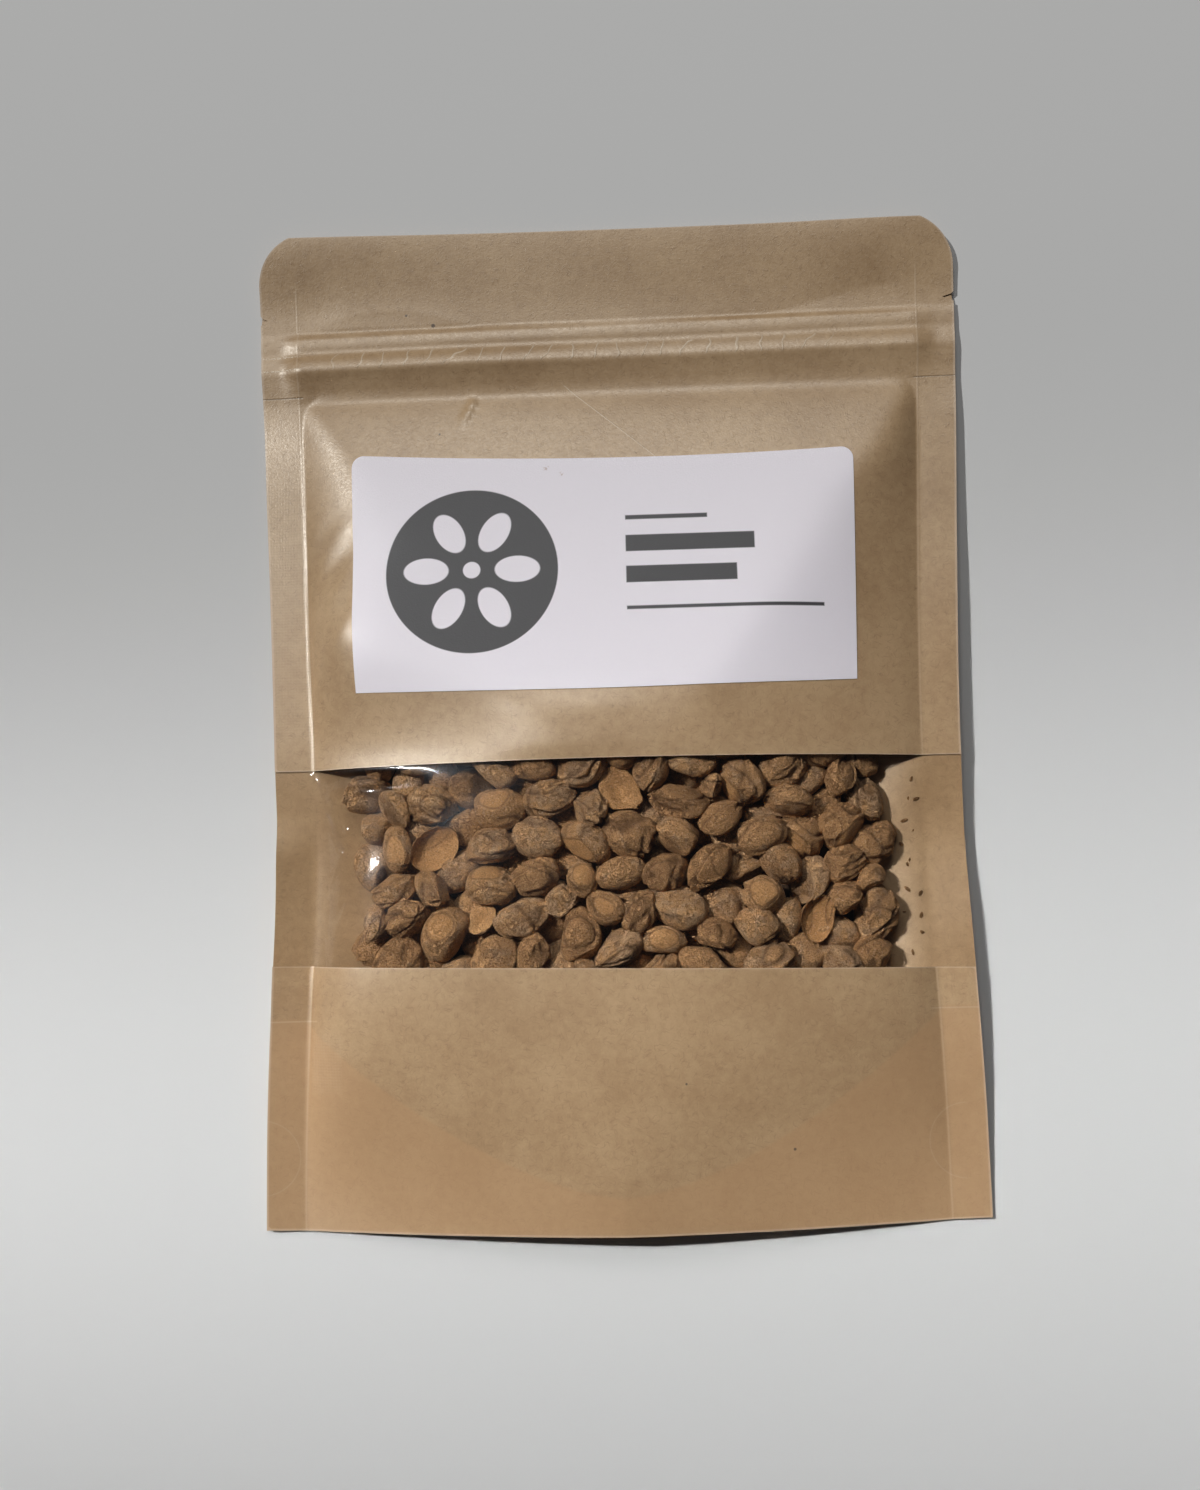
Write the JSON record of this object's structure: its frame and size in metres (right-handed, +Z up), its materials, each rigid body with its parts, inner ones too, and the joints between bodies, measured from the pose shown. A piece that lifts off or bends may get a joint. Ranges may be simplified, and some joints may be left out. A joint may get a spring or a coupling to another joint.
{
  "type": "windowed stand-up pouch of freeze-dried natto beans",
  "caption": "Kraft-paper zip pouch lying on its back, with a blank-lined paper label and a clear window strip showing dried natto soybeans.",
  "frame": {"origin": "middle of the footprint on the surface that the pouch lies on", "axes": "+Y along the pouch's length towards its zip and header, +X across it to the right seen from the front panel, +Z up through the window"},
  "size_m": [0.141, 0.1996, 0.0171],
  "materials": {
    "kraft_paper": "brown kraft paper with a satin varnish and short dark fibres",
    "clear_film": "clear glossy heat-sealed film",
    "dried_bean": "matt wrinkled skin of freeze-dried soybeans",
    "label_paper": "smooth white self-adhesive paper with a charcoal print"
  },
  "bodies": {
    "root": {"pouch": "kraft_paper", "window_film": "clear_film", "natto_beans": "dried_bean", "label": "label_paper"}
  },
  "joints": []
}
